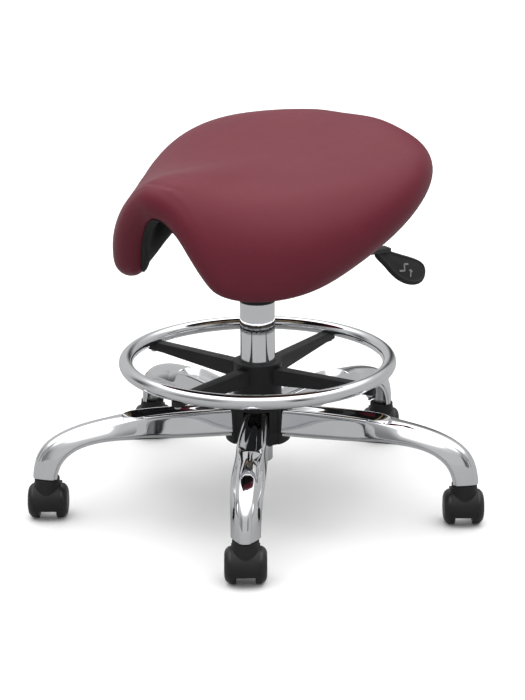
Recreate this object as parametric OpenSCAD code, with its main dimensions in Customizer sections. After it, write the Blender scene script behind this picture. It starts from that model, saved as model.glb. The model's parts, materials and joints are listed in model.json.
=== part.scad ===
// Saddle-seat dental stool: five-leg caster base, gas lift, foot ring and upholstered saddle.
// Millimetres. Origin on the column axis at floor level, +Z up, the sitter faces -Y.

/* [Base] */
// Distance from the column axis to each caster stem
stem_circle_r = 310; // [300:1:316]
// Direction of the first leg from +X, in degrees
base_turn = -52; // [-60:1:-44]
// Outer radius of the plastic hub
hub_r = 44.5; // [44:0.5:46]
// Wall thickness of the pressed legs
leg_wall = 2.5; // [2:0.5:3]

/* [Gas lift] */
// Outer radius of the column tube
column_r = 25; // [25:0.5:25]
// Height of the column tube's top
column_top = 298; // [292:1:298]
// Radius of the moving gas cylinder
cylinder_r = 14; // [14:0.5:14]

/* [Foot ring] */
// Radius of the ring's centre line
ring_r = 189; // [185:1:192]
// Radius of the ring's tube
ring_tube_r = 10; // [9.5:0.5:10]
// Height of the ring's centre line at its lowest setting
ring_z = 210; // [210:1:212]
// Direction of the first spider arm from +X, in degrees
ring_turn = 6; // [0:1:10]

/* [Casters] */
// Radius of a caster wheel
wheel_r = 25; // [24:0.5:25]
// Width of a caster wheel
wheel_w = 15.5; // [15:0.5:16]
// Distance from the stem axis back to the wheel axle
caster_trail = 6; // [5:0.5:7]
// Direction the closed side of the hoods faces, from +X, in degrees
caster_turn = -49; // [-60:1:-40]

/* [Saddle] */
// Half the thickness of the padded sheet
pad_r = 24; // [20:1:24]
// Direction of the height lever from +X, in degrees
lever_turn = 71; // [66:1:76]

/* [Hidden] */

$fn = 96;
eps = 0.01;
chrome = [0.80, 0.81, 0.83];
steel = [0.62, 0.63, 0.65];
black = [0.12, 0.12, 0.13];
vinyl = [0.42, 0.16, 0.21];
ply = [0.72, 0.56, 0.38];
leg_pitch = 72;

// ---- curve and surface functions ----

// Clamped cubic B-spline through a list of control points, t from 0 to 1
function knot(i, n) = min(max(i - 3, 0), n - 3);
function span(t, n) = min(3 + floor(t * (n - 3)), n - 1);
function blend(a, b, f) = a * (1 - f) + b * f;
function deboor(p, n, x, k, i, r) =
  r == 0 ? p[i] :
  let (lo = knot(i, n), hi = knot(i + 4 - r, n), f = (x - lo) / (hi - lo))
  blend(deboor(p, n, x, k, i - 1, r - 1), deboor(p, n, x, k, i, r - 1), f);
function spline(p, t) =
  let (n = len(p), u = min(t, 0.999999), k = span(u, n))
  deboor(p, n, u * (n - 3), k, k, 3);
function curve(p, steps) = [for (i = [0:steps]) spline(p, i / steps)];

// Control points moved sideways by d, to the left of the direction of travel
function side_of(p, i) =
  let (a = p[max(i - 1, 0)], b = p[min(i + 1, len(p) - 1)], d = (b - a) / norm(b - a))
  [-d[1], d[0]];
function shifted(p, d) = [for (i = [0:len(p) - 1]) p[i] + d * side_of(p, i)];
function back_to_front(p) = [for (i = [len(p) - 1:-1:0]) p[i]];

// ---- legs ----

// Crown and lower edge of a leg, as [distance from the axis, height]
leg_reach = stem_circle_r - 310;
leg_crown = [[30, 143], [130, 148], [228, 144], [302, 124], [326, 98], [328.5, 64]];
leg_edge = [[30, 104], [130, 108], [228, 120], [280, 104], [298, 84], [301, 64]];
// Half width of a leg along its length
leg_plan = [[30, 18], [120, 20], [215, 24], [290, 21], [329, 19], [331, 12]];
leg_steps = 28;
// The pressed groove along the crown: length, half widths at both ends, depth
groove_end = 198;
groove_w0 = 6;
groove_w1 = 17;
groove_depth = 9;

module leg_side(upper, lower) {
  rotate([90, 0, 0])
    linear_extrude(60, center = true)
      polygon(concat(curve(upper, leg_steps), back_to_front(curve(lower, leg_steps))));
}

module leg_outline(inset) {
  half = curve([for (p = leg_plan) [p[0], p[1] - inset]], leg_steps);
  linear_extrude(170)
    polygon(concat(half, [for (p = back_to_front(half)) [p[0], -p[1]]]));
}

module groove_outline(extra) {
  round_x = groove_end - groove_w1;
  linear_extrude(200) {
    polygon([[20, groove_w0 + extra], [round_x, groove_w1 + extra],
      [round_x, -groove_w1 - extra], [20, -groove_w0 - extra]]);
    translate([round_x, 0])
      circle(r = groove_w1 + extra);
  }
}

// Everything within depth of the crown
module leg_skin(depth) {
  leg_side([for (p = leg_crown) p + [0, 20]], shifted(leg_crown, -depth));
}

module leg_hollow() {
  intersection() {
    leg_side(shifted(leg_crown, -leg_wall), [for (p = leg_edge) p - [0, 30]]);
    leg_outline(leg_wall);
  }
}

module leg_shell() {
  difference() {
    intersection() {
      leg_side(leg_crown, leg_edge);
      leg_outline(0);
      union() {
        leg_skin(leg_wall);
        difference() {
          translate([-10, -40, 0])
            cube([400, 80, 200]);
          leg_outline(leg_wall);
        }
        intersection() {
          leg_skin(groove_depth + leg_wall);
          groove_outline(leg_wall);
        }
      }
    }
    intersection() {
      leg_skin(groove_depth);
      groove_outline(0);
    }
  }
}

module at_leg(k) {
  rotate(base_turn + leg_pitch * (k - 1))
    children();
}

module leg(k) {
  color(chrome)
    at_leg(k)
      translate([leg_reach, 0, 0])
        leg_shell();
}

// ---- hub ----

hub_low = 93;
hub_seam = 112;
hub_top = 151;
hub_gap = 0.3;
pocket_low = 103.4;
pocket_top = 144.4;
pocket_half = 18.6;
collar_r = 46.8;
// One side of the raised arch round a leg's root, as [sideways, height]
collar_side = [[22.2, 80], [22.2, 141.5], [18.8, 147.4]];
screw_circle_r = 37.5;
sleeve_r = 29;

module leg_pockets() {
  for (k = [1:5])
    at_leg(k)
      translate([sleeve_r + 0.5, -pocket_half, pocket_low])
        cube([40, 2 * pocket_half, pocket_top - pocket_low]);
}

// Raised arch round one leg's root
module root_arch() {
  intersection() {
    cylinder(h = 200, r = collar_r);
    translate([34, 0, 0])
      rotate([90, 0, 90])
        linear_extrude(20)
          polygon(concat(collar_side, [for (p = back_to_front(collar_side)) [-p[0], p[1]]]));
  }
}

module hub_body() {
  translate([0, 0, hub_low - 5])
    cylinder(h = hub_top - hub_low + 2, r = hub_r);
  translate([0, 0, hub_top - 3])
    cylinder(h = 3, r1 = hub_r, r2 = hub_r - 3);
  for (k = [1:5])
    at_leg(k)
      root_arch();
}

// The part of the hub between two heights, with room for the sleeve, legs and screws
module hub_half(z0, z1, hole_r) {
  difference() {
    intersection() {
      hub_body();
      translate([0, 0, z0])
        cylinder(h = z1 - z0, r = 60);
    }
    cylinder(h = hub_top - 3, r = sleeve_r);
    cylinder(h = 200, r = column_r);
    leg_pockets();
    hub_screw_holes(hole_r);
  }
}

module hub_upper() {
  color(black)
    hub_half(hub_seam, hub_top, 2.5);
}

module hub_lower() {
  color(black)
    difference() {
      hub_half(hub_low, hub_seam - hub_gap, 2.7);
      for (k = [1:5])
        at_leg(k + 0.5)
          translate([screw_circle_r, 0, hub_low - 1])
            cylinder(h = 4.5, r = 4.7);
    }
}

module hub_screw_holes(r) {
  for (k = [1:5])
    at_leg(k + 0.5)
      translate([screw_circle_r, 0, hub_low])
        cylinder(h = 35, r = r);
}

module hub_screws() {
  color(steel)
    for (k = [1:5])
      at_leg(k + 0.5)
        translate([screw_circle_r, 0, hub_low]) {
          cylinder(h = 34.5, r = 2.5);
          cylinder(h = 3.5, r = 4.5);
        }
}

module hub_sleeve() {
  color(steel)
    difference() {
      translate([0, 0, hub_low])
        cylinder(h = hub_top - hub_low - 3, r = sleeve_r);
      column_solid(0);
    }
}

// ---- column and gas lift ----

column_low = 60;
// The column narrows inside the hub, to this radius between these heights
column_foot_r = 21.3;
taper_low = 100;
taper_high = hub_top - 3;
column_wall = 1.8;
plate_t = 3;
rod_r = 5;
running = 0.05;
bushing_low = 215;
collar_h = 6;
cylinder_low = 84;
cylinder_wall = 1.5;
cylinder_shoulder = 322;
cylinder_top = 350;
cone_top_r = 12.6;
pin_r = 3;
piston_top = 272;

// The column's outside, or its bore when inset is the wall thickness
module column_solid(inset) {
  foot = column_foot_r - inset;
  wide = column_r - inset;
  translate([0, 0, column_low])
    cylinder(h = taper_low - column_low, r = foot);
  translate([0, 0, taper_low])
    cylinder(h = taper_high - taper_low, r1 = foot, r2 = wide);
  translate([0, 0, taper_high])
    cylinder(h = column_top + inset - taper_high, r = wide);
}

module column_tube() {
  color(chrome)
    difference() {
      column_solid(0);
      intersection() {
        column_solid(column_wall);
        translate([0, 0, column_low + plate_t])
          cylinder(h = 400, r = column_r);
      }
      cylinder(h = 400, r = rod_r + 0.4);
    }
}

module column_bushing() {
  color(black)
    difference() {
      union() {
        translate([0, 0, bushing_low])
          cylinder(h = column_top - bushing_low, r = column_r - column_wall);
        translate([0, 0, column_top])
          cylinder(h = collar_h - 1.5, r = column_r + 1);
        translate([0, 0, column_top + collar_h - 1.5])
          cylinder(h = 1.5, r1 = column_r + 1, r2 = column_r - 1);
      }
      cylinder(h = 400, r = cylinder_r + running);
    }
}

module piston_rod() {
  color(steel) {
    difference() {
      translate([0, 0, column_low - 5])
        cylinder(h = piston_top - column_low + 5, r = rod_r);
      translate([0, 0, column_low - 3])
        difference() {
          cylinder(h = 2, r = rod_r + 1);
          cylinder(h = 2, r = rod_r - 1);
        }
    }
    translate([0, 0, piston_top - 10])
      cylinder(h = 8, r = cylinder_r - cylinder_wall - running);
  }
}

module rod_clip() {
  color(steel)
    translate([0, 0, column_low - 2.8])
      difference() {
        cylinder(h = 1.6, r = 9.5);
        translate([0, 0, -1])
          cylinder(h = 5, r = rod_r - 1);
        translate([0, -2.5, -1])
          cube([20, 5, 5]);
      }
}

module thrust_bearing() {
  bearing_low = column_low + plate_t + 0.3;
  race_r = 13;
  ball_r = 1.95;
  color(steel) {
    for (z = [0, 6])
      translate([0, 0, bearing_low + z])
        difference() {
          cylinder(h = 2, r = race_r);
          translate([0, 0, -1])
            cylinder(h = 5, r = rod_r);
        }
    for (a = [0:45:315])
      rotate(a)
        translate([9.2, 0, bearing_low + 4])
          sphere(r = ball_r, $fn = 24);
  }
}

module rod_bumper() {
  color(black)
    translate([0, 0, column_low + plate_t + 8.5])
      difference() {
        cylinder(h = 9, r1 = 12, r2 = 10);
        translate([0, 0, -1])
          cylinder(h = 20, r = rod_r);
      }
}

module gas_cylinder() {
  color(steel)
    difference() {
      union() {
        translate([0, 0, cylinder_low])
          cylinder(h = cylinder_shoulder - cylinder_low, r = cylinder_r);
        translate([0, 0, cylinder_shoulder])
          cylinder(h = cylinder_top - cylinder_shoulder, r1 = cylinder_r, r2 = cone_top_r);
      }
      translate([0, 0, cylinder_low + 12])
        cylinder(h = cylinder_shoulder - cylinder_low - 18, r = cylinder_r - cylinder_wall);
      translate([0, 0, cylinder_low - 1])
        cylinder(h = 20, r = rod_r + running);
      translate([0, 0, cylinder_shoulder + 6])
        cylinder(h = 60, r = pin_r + running);
    }
}

module valve_button() {
  color(steel) {
    translate([0, 0, cylinder_shoulder + 12])
      cylinder(h = cylinder_top + 2 - cylinder_shoulder - 12, r = pin_r);
    translate([0, 0, cylinder_top + 4.6])
      cylinder(h = 3, r = 4.5);
    translate([0, 0, cylinder_top + 1.9])
      cylinder(h = 2.8, r = pin_r);
  }
}

// ---- seat mechanism, in a frame whose +X is the lever's direction ----

web_z = 352;
web_t = 3;
board_z = 368;
board_t = 12;
channel_half = 15;
bolt_x = 50;
bolt_y = 36;
pivot_x = 35;
pivot_z = 361.5;
pivot_pin_r = 3;
boss_r = 5.4;
bar_half = 9;

module in_mechanism() {
  rotate(lever_turn)
    children();
}

module bolt_places() {
  in_mechanism()
    for (x = [-bolt_x, bolt_x], y = [-bolt_y, bolt_y])
      translate([x, y, 0])
        children();
}

module taper_socket() {
  color(steel)
    difference() {
      union() {
        translate([0, 0, cylinder_shoulder - 4])
          cylinder(h = web_z - cylinder_shoulder + 4, r = 19);
        translate([0, 0, web_z - 6])
          cylinder(h = 6, r = 24);
      }
      translate([0, 0, cylinder_shoulder])
        cylinder(h = cylinder_top - cylinder_shoulder, r1 = cylinder_r, r2 = cone_top_r);
      translate([0, 0, cylinder_shoulder - 10])
        cylinder(h = 10 + eps, r = cylinder_r);
      translate([0, 0, cylinder_top - eps])
        cylinder(h = 20, r = cone_top_r);
    }
}

module mechanism_plate() {
  flange_z = board_z - web_t;
  web_end = 40;
  color(black)
    in_mechanism()
      difference() {
        union() {
          translate([-66, -channel_half - web_t, web_z])
            cube([66 + web_end, 2 * (channel_half + web_t), web_t]);
          for (s = [-1, 1]) {
            translate([-66, s > 0 ? channel_half : -channel_half - web_t, web_z])
              cube([66 + web_end, web_t, board_z - web_z]);
            translate([-66, s > 0 ? channel_half : -50, flange_z])
              cube([132, 50 - channel_half, web_t]);
          }
          translate([-66, -50, flange_z])
            cube([20, 100, web_t]);
        }
        translate([0, 0, web_z - 1])
          cylinder(h = 5, r = 8);
        translate([pivot_x, 50, pivot_z])
          rotate([90, 0, 0])
            cylinder(h = 100, r = pivot_pin_r);
        for (x = [-bolt_x, bolt_x], y = [-bolt_y, bolt_y])
          translate([x, y, flange_z - 1])
            cylinder(h = 6, r = 4.2);
      }
}

module lever_pin() {
  color(steel)
    in_mechanism()
      translate([pivot_x, channel_half + web_t + 1, pivot_z])
        rotate([90, 0, 0])
          cylinder(h = 2 * (channel_half + web_t + 1), r = pivot_pin_r);
}

module seat_bolts() {
  head_t = 5;
  color(steel)
    bolt_places() {
      translate([0, 0, board_z - web_t - head_t])
        cylinder(h = head_t, r = 7.5, $fn = 6);
      translate([0, 0, board_z - web_t - 1])
        cylinder(h = board_t + web_t - 1, r = 4);
    }
}

module tee_nuts() {
  color(steel)
    bolt_places()
      difference() {
        union() {
          translate([0, 0, board_z + 3])
            cylinder(h = board_t - 3.4, r = 5.5);
          translate([0, 0, board_z + board_t - 2])
            cylinder(h = 1.6, r = 9);
        }
        translate([0, 0, board_z])
          cylinder(h = 20, r = 4);
      }
}

module seat_board() {
  color(ply)
    difference() {
      translate([0, 0, board_z])
        linear_extrude(board_t) {
          translate([0, 25])
            circle(r = 90);
          translate([0, -20])
            circle(r = 60);
        }
      bolt_places() {
        translate([0, 0, board_z - 1])
          cylinder(h = 30, r = 4.2);
        translate([0, 0, board_z + 2.8])
          cylinder(h = 30, r = 5.5);
        translate([0, 0, board_z + board_t - 2.2])
          cylinder(h = 5, r = 9.2);
      }
    }
}

core_top = 456;

module seat_core() {
  core_low = board_z + board_t;
  color(black)
    translate([0, 12, core_low])
      cylinder(h = core_top - core_low, r1 = 72, r2 = 46);
}

// ---- saddle ----

// Middle of the padded sheet, right half: each row runs from the spine to the hem and
// gives [sideways, forwards, height]; the rows run from the pommel to the cantle
saddle_rows = [
  [[0, 196, 478], [24, 188, 470], [56, 186, 443], [76, 177, 402], [87, 165, 380]],
  [[0, 184, 490], [34, 176, 471], [82, 162, 440], [112, 149, 390], [98, 152, 370]],
  [[0, 140, 492], [50, 133, 468], [116, 121, 443], [152, 100, 400], [132, 120, 368]],
  [[0, 60, 481], [60, 60, 465], [140, 53, 458], [197, 33, 421], [157, 60, 376]],
  [[0, -20, 473], [68, -20, 470], [157, -20, 480], [233, -30, 454], [173, -12, 408]],
  [[0, -102, 491], [70, -100, 494], [157, -98, 509], [234, -95, 490], [180, -80, 440]],
  [[0, -162, 515], [62, -166, 518], [130, -163, 519], [194, -149, 497], [158, -130, 467]],
  [[0, -184, 519], [34, -190, 519], [86, -190, 516], [143, -174, 490], [132, -161, 477]]];
saddle_long = 20;
saddle_across = 28;
rim_steps = 8;

function mirrored_row(row) = concat(
  [for (j = [len(row) - 1:-1:1]) [-row[j][0], row[j][1], row[j][2]]], row);
saddle_net = [for (row = saddle_rows) mirrored_row(row)];
function saddle_raw(s, u) =
  let (p = spline([for (row = saddle_net) spline(row, u)], s))
  [p[0], -p[1], p[2]];

// Normal of the sheet, pointing to the sitter
probe = 0.01;
function saddle_normal(s, u) =
  let (
    s1 = min(max(s, 3 * probe), 1 - 3 * probe),
    u1 = min(max(u, 3 * probe), 1 - 3 * probe),
    ds = saddle_raw(s1 + probe, u1) - saddle_raw(s1 - probe, u1),
    du = saddle_raw(s1, u1 + probe) - saddle_raw(s1, u1 - probe),
    n = cross(du, ds))
  n / norm(n);

// Grid position of the k-th point round the sheet's edge
edge_count = 2 * (saddle_long + saddle_across);
function edge_cell(k) =
  let (m = k % edge_count)
  m < saddle_across ? [0, m] :
  m < saddle_across + saddle_long ? [m - saddle_across, saddle_across] :
  m < 2 * saddle_across + saddle_long ? [saddle_long, 2 * saddle_across + saddle_long - m] :
  [edge_count - m, 0];

saddle_grid = [for (i = [0:saddle_long], j = [0:saddle_across])
  saddle_raw(i / saddle_long, j / saddle_across)];
saddle_ups = [for (i = [0:saddle_long], j = [0:saddle_across])
  saddle_normal(i / saddle_long, j / saddle_across)];
saddle_cols = saddle_across + 1;
saddle_cells = [for (i = [0:saddle_long - 1], j = [0:saddle_across - 1]) i * saddle_cols + j];
saddle_edge = [for (k = [0:edge_count - 1])
  let (c = edge_cell(k))
  c[0] * saddle_cols + c[1]];

// A point at distance r from the k-th point of the edge, a degrees round from the sitter's side
function rim_at(k, r, a) =
  let (
    ahead = saddle_grid[saddle_edge[(k + 1) % edge_count]],
    behind = saddle_grid[saddle_edge[(k + edge_count - 1) % edge_count]],
    up = saddle_ups[saddle_edge[k]],
    out = cross(ahead - behind, up))
  saddle_grid[saddle_edge[k]] + r * (up * cos(a) + out / norm(out) * sin(a));
function offset_grid(d) = [for (m = [0:len(saddle_grid) - 1]) saddle_grid[m] + d * saddle_ups[m]];
function turned(faces, shift) = [for (f = faces) [f[0] + shift, f[2] + shift, f[1] + shift]];
grid_faces = concat(
  [for (c = saddle_cells) [c, c + saddle_cols, c + 1]],
  [for (c = saddle_cells) [c + 1, c + saddle_cols, c + saddle_cols + 1]]);

module seat_cushion() {
  count = len(saddle_grid);
  function at(k, q) =
    let (m = k % edge_count)
    q == 0 ? saddle_edge[m] :
    q == rim_steps ? count + saddle_edge[m] :
    2 * count + m * (rim_steps - 1) + q - 1;
  rim = [for (k = [0:edge_count - 1], q = [1:rim_steps - 1])
    rim_at(k, pad_r, 180 * q / rim_steps)];
  color(vinyl)
    polyhedron(
      points = concat(offset_grid(pad_r), offset_grid(-pad_r), rim),
      faces = concat(
        grid_faces,
        turned(grid_faces, count),
        [for (k = [0:edge_count - 1], q = [0:rim_steps - 1])
          [at(k, q), at(k + 1, q), at(k, q + 1)]],
        [for (k = [0:edge_count - 1], q = [0:rim_steps - 1])
          [at(k + 1, q), at(k + 1, q + 1), at(k, q + 1)]]));
}

// Cloth under the cushion, carried round its rim
module seat_lining() {
  lining_gap = 0.3;
  lining_t = 1.6;
  wrap = 55;
  wrap_steps = 4;
  inner_r = pad_r + lining_gap;
  outer_r = inner_r + lining_t;
  function sheet(r) = concat(offset_grid(-r),
    [for (k = [0:edge_count - 1], q = [1:wrap_steps]) rim_at(k, r, 180 - wrap * q / wrap_steps)]);
  count = len(saddle_grid) + edge_count * wrap_steps;
  function at(k, q) =
    let (m = k % edge_count)
    q == 0 ? saddle_edge[m] : len(saddle_grid) + m * wrap_steps + q - 1;
  inner = concat(
    grid_faces,
    [for (k = [0:edge_count - 1], q = [0:wrap_steps - 1])
      [at(k, q), at(k + 1, q), at(k, q + 1)]],
    [for (k = [0:edge_count - 1], q = [0:wrap_steps - 1])
      [at(k + 1, q), at(k + 1, q + 1), at(k, q + 1)]]);
  border = [for (k = [0:edge_count - 1]) [at(k, wrap_steps), at(k + 1, wrap_steps)]];
  color(black)
    polyhedron(
      points = concat(sheet(inner_r), sheet(outer_r)),
      faces = concat(
        inner,
        turned(inner, count),
        [for (e = border) [e[0], e[1], e[0] + count]],
        [for (e = border) [e[1], e[1] + count, e[0] + count]]));
}

// ---- lever ----

bar_t = 6;
bar_line = [[-8, 361.5], [42, 361.5], [96, 345], [222, 345]];
paddle_x = 207;
paddle_drop = 27;
paddle_roll = 60;
// Round ends of the paddle, as [along, sideways, radius], from the lever to the free end
paddle_rounds = [[2, -7, 9], [45, -13, 19.5], [72, -10, 20.5]];
paddle_half_t = [5.4, 5.6, 5.2];

module lever_bar() {
  color(black)
    in_mechanism()
      difference() {
        union() {
          translate([0, bar_half, 0])
            rotate([90, 0, 0])
              linear_extrude(2 * bar_half)
                polygon(concat([for (p = bar_line) p + [0, bar_t / 2]],
                  [for (p = back_to_front(bar_line)) p - [0, bar_t / 2]]));
          translate([pivot_x, bar_half + 4, pivot_z])
            rotate([90, 0, 0])
              cylinder(h = 2 * (bar_half + 4), r = boss_r);
        }
        translate([pivot_x, 50, pivot_z])
          rotate([90, 0, 0])
            cylinder(h = 100, r = pivot_pin_r + running);
      }
}

module lever_paddle() {
  color(black)
    in_mechanism()
      translate([paddle_x, 0, 345])
        rotate([0, paddle_drop, 0])
          rotate([paddle_roll, 0, 0])
            hull()
              for (i = [0:2])
                translate([paddle_rounds[i][0], paddle_rounds[i][1], 0])
                  scale([1, 1, paddle_half_t[i] / paddle_rounds[i][2]])
                    sphere(r = paddle_rounds[i][2], $fn = 32);
}

// ---- foot ring ----

spider_low = 153;
spider_top = 205;
spider_r = 34.5;
collet_r = 28;
arm_tip = ring_r + 8;

module ring_tube() {
  color(chrome)
    translate([0, 0, ring_z])
      difference() {
        rotate_extrude($fn = 180)
          translate([ring_r, 0])
            circle(r = ring_tube_r, $fn = 48);
        rotate_extrude($fn = 180)
          translate([ring_r, 0])
            circle(r = ring_tube_r - 1.5, $fn = 48);
        for (a = [0:90:270])
          rotate(ring_turn + a)
            translate([ring_r, 0, -ring_tube_r - 2])
              cylinder(h = 8, r = 2.5);
      }
}

module spider_arm() {
  intersection() {
    rotate([90, 0, 0])
      linear_extrude(30, center = true)
        polygon([[20, spider_top - 2], [ring_r - 9, spider_top + 1.5],
          [arm_tip, spider_top - 4.5], [arm_tip, ring_z - 16], [ring_r - 20, ring_z - 17],
          [20, spider_top - 27]]);
    linear_extrude(300)
      polygon([[20, 9], [arm_tip - 3, 7], [arm_tip, 4], [arm_tip, -4],
        [arm_tip - 3, -7], [20, -9]]);
  }
}

module ring_spider() {
  color(black)
    difference() {
      union() {
        translate([0, 0, spider_low])
          cylinder(h = spider_top - spider_low, r = spider_r);
        translate([0, 0, spider_top])
          cylinder(h = 4.5, r = spider_r + 0.5);
        for (a = [0:90:270])
          rotate(ring_turn + a)
            spider_arm();
      }
      translate([0, 0, spider_low - 1])
        cylinder(h = spider_top - spider_low - 3, r = collet_r);
      cylinder(h = 400, r = column_r + 0.4);
      translate([0, 0, ring_z])
        rotate_extrude($fn = 180)
          translate([ring_r, 0])
            circle(r = ring_tube_r, $fn = 48);
      for (a = [0:90:270])
        rotate(ring_turn + a)
          translate([ring_r, 0, ring_z - 20])
            cylinder(h = 20, r = 2.7);
    }
}

module ring_collet() {
  color(black)
    translate([0, 0, spider_low + 1])
      difference() {
        cylinder(h = spider_top - spider_low - 5.2, r = collet_r);
        translate([0, 0, -1])
          cylinder(h = 80, r = column_r + running);
        for (a = [0:60:300])
          rotate(a)
            translate([20, -1, 20])
              cube([20, 2, 80]);
      }
}

module ring_screws() {
  color(steel)
    for (a = [0:90:270])
      rotate(ring_turn + a)
        translate([ring_r, 0, ring_z - 19.8]) {
          cylinder(h = 3.2, r = 4.5);
          cylinder(h = 12, r = 2.5);
        }
}

// ---- casters, in a frame at the stem whose +X is the closed side of the hood ----

hood_half = 19;
hood_t = 2.6;
neck_r = 17.8;
neck_top = 62;
web_half = 12;
axle_r = 4;
wheel_gap = 0.75;
wheel_clear = 0.7;
stem_r = 5.5;
stem_top = 86;
socket_r = 11;
tip_z = 64;

module at_caster(k) {
  at_leg(k)
    translate([stem_circle_r, 0, 0])
      rotate(caster_turn - base_turn - leg_pitch * (k - 1))
        children();
}

module across(r, half) {
  translate([-caster_trail, half, wheel_r])
    rotate([90, 0, 0])
      cylinder(h = 2 * half, r = r);
}

module hood_side() {
  reach = 60;
  translate([-caster_trail, 60, wheel_r])
    rotate([90, 0, 0])
      linear_extrude(120)
        polygon([[0, 0], [reach, -reach * 0.28], [reach, reach], [-reach * 0.7, reach]]);
}

module caster_hood(k) {
  color(black)
    at_caster(k)
      difference() {
        union() {
          translate([0, 0, wheel_r + 5])
            cylinder(h = neck_top - wheel_r - 5, r = neck_r);
          intersection() {
            across(wheel_r + wheel_clear + hood_t, hood_half);
            hood_side();
          }
          across(axle_r + 7, web_half);
        }
        for (s = [-1, 1])
          translate([0, s * (web_half + 20), 0])
            across(wheel_r + wheel_clear, 20);
        across(axle_r, 40);
        translate([0, 0, wheel_r + 8])
          cylinder(h = 60, r = stem_r);
      }
}

module caster_stem(k) {
  color(steel)
    at_caster(k)
      difference() {
        translate([0, 0, wheel_r + 8])
          cylinder(h = stem_top - wheel_r - 8, r = stem_r);
        translate([0, 0, stem_top - 6])
          difference() {
            cylinder(h = 2, r = stem_r + 1);
            cylinder(h = 2, r = stem_r - 0.8);
          }
      }
}

module caster_axle(k) {
  color(steel)
    at_caster(k)
      across(axle_r, web_half + wheel_gap + wheel_w - 3);
}

// Section of a wheel from its inner face outwards, as [radius, distance from the inner face]
shoulder = 10;
function wheel_shoulder() = [for (a = [0:10:80])
  [wheel_r - 11 * (1 - cos(a)), wheel_w - shoulder + shoulder * sin(a)]];
wheel_outline = concat([[0, 2], [6, 2], [6, 0], [9, 0], [9, 3], [wheel_r - 5, 3],
  [wheel_r - 5, 0], [wheel_r, 0]], wheel_shoulder(), [[12, wheel_w], [0, wheel_w]]);

module wheel(k, s) {
  color(black)
    at_caster(k)
      translate([-caster_trail, s * (web_half + wheel_gap), wheel_r])
        rotate([-90 * s, 0, 0])
          difference() {
            rotate_extrude()
              polygon(wheel_outline);
            translate([0, 0, -1])
              cylinder(h = wheel_w - 1.9, r = axle_r + running);
          }
}

module stem_sockets() {
  color(steel)
    for (k = [1:5])
      at_leg(k)
        difference() {
          intersection() {
            translate([stem_circle_r, 0, tip_z])
              cylinder(h = 60, r = socket_r);
            translate([leg_reach, 0, 0])
              leg_hollow();
          }
          translate([stem_circle_r, 0, 0])
            cylinder(h = stem_top + 1, r = stem_r + running);
        }
}

// ---- nodes ----

hub_upper();
hub_lower();
hub_sleeve();
hub_screws();
leg(1);  // leg_1
leg(2);  // leg_2
leg(3);  // leg_3
leg(4);  // leg_4
leg(5);  // leg_5
stem_sockets();
column_tube();
column_bushing();
piston_rod();
thrust_bearing();
rod_bumper();
rod_clip();
gas_cylinder();
taper_socket();
mechanism_plate();
lever_pin();
seat_board();
seat_core();
seat_cushion();
seat_lining();
seat_bolts();
tee_nuts();
lever_bar();
lever_paddle();
valve_button();
ring_tube();
ring_spider();
ring_collet();
ring_screws();
caster_hood(1);  // caster_hood_1
caster_hood(2);  // caster_hood_2
caster_hood(3);  // caster_hood_3
caster_hood(4);  // caster_hood_4
caster_hood(5);  // caster_hood_5
caster_stem(1);  // caster_stem_1
caster_stem(2);  // caster_stem_2
caster_stem(3);  // caster_stem_3
caster_stem(4);  // caster_stem_4
caster_stem(5);  // caster_stem_5
caster_axle(1);  // caster_axle_1
caster_axle(2);  // caster_axle_2
caster_axle(3);  // caster_axle_3
caster_axle(4);  // caster_axle_4
caster_axle(5);  // caster_axle_5
wheel(1, 1);  // wheel_1a
wheel(1, -1);  // wheel_1b
wheel(2, 1);  // wheel_2a
wheel(2, -1);  // wheel_2b
wheel(3, 1);  // wheel_3a
wheel(3, -1);  // wheel_3b
wheel(4, 1);  // wheel_4a
wheel(4, -1);  // wheel_4b
wheel(5, 1);  // wheel_5a
wheel(5, -1);  // wheel_5b
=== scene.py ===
"""Looks of the saddle stool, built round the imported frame. Metres, +Z up, the sitter faces -Y."""
import json
import math

import bmesh
import bpy
import numpy as np
from mathutils import Matrix, Vector


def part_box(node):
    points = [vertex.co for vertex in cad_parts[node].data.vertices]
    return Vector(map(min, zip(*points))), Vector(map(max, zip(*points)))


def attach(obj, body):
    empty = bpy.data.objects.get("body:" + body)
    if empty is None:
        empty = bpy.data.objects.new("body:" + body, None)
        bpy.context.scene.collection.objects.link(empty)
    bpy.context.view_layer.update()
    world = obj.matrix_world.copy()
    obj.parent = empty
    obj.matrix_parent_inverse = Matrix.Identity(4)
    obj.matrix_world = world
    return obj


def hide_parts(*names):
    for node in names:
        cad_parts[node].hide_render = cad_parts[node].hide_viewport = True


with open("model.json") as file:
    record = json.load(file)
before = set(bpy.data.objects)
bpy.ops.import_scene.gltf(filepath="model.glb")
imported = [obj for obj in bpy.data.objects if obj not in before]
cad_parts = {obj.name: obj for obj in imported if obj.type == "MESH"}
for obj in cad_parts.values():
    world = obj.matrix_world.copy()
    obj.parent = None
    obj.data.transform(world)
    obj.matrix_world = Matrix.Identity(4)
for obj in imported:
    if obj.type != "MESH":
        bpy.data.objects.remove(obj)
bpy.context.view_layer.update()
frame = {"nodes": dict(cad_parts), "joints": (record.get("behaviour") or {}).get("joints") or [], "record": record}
MM = 0.001
LEGS = range(1, 6)
JOINTS = {j["name"]: j for j in frame["joints"]}


# ---- node-tree helpers ----

def new_material(name, colour, roughness, metallic=0.0, specular=0.5):
    """A Principled material and the helpers' handle on its node tree."""
    mat = bpy.data.materials.new(name)
    mat.use_nodes = True
    tree = mat.node_tree
    shader = tree.nodes["Principled BSDF"]
    shader.inputs["Base Color"].default_value = (*colour, 1)
    shader.inputs["Roughness"].default_value = roughness
    shader.inputs["Metallic"].default_value = metallic
    shader.inputs["Specular IOR Level"].default_value = specular
    return mat, tree, shader


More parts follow.
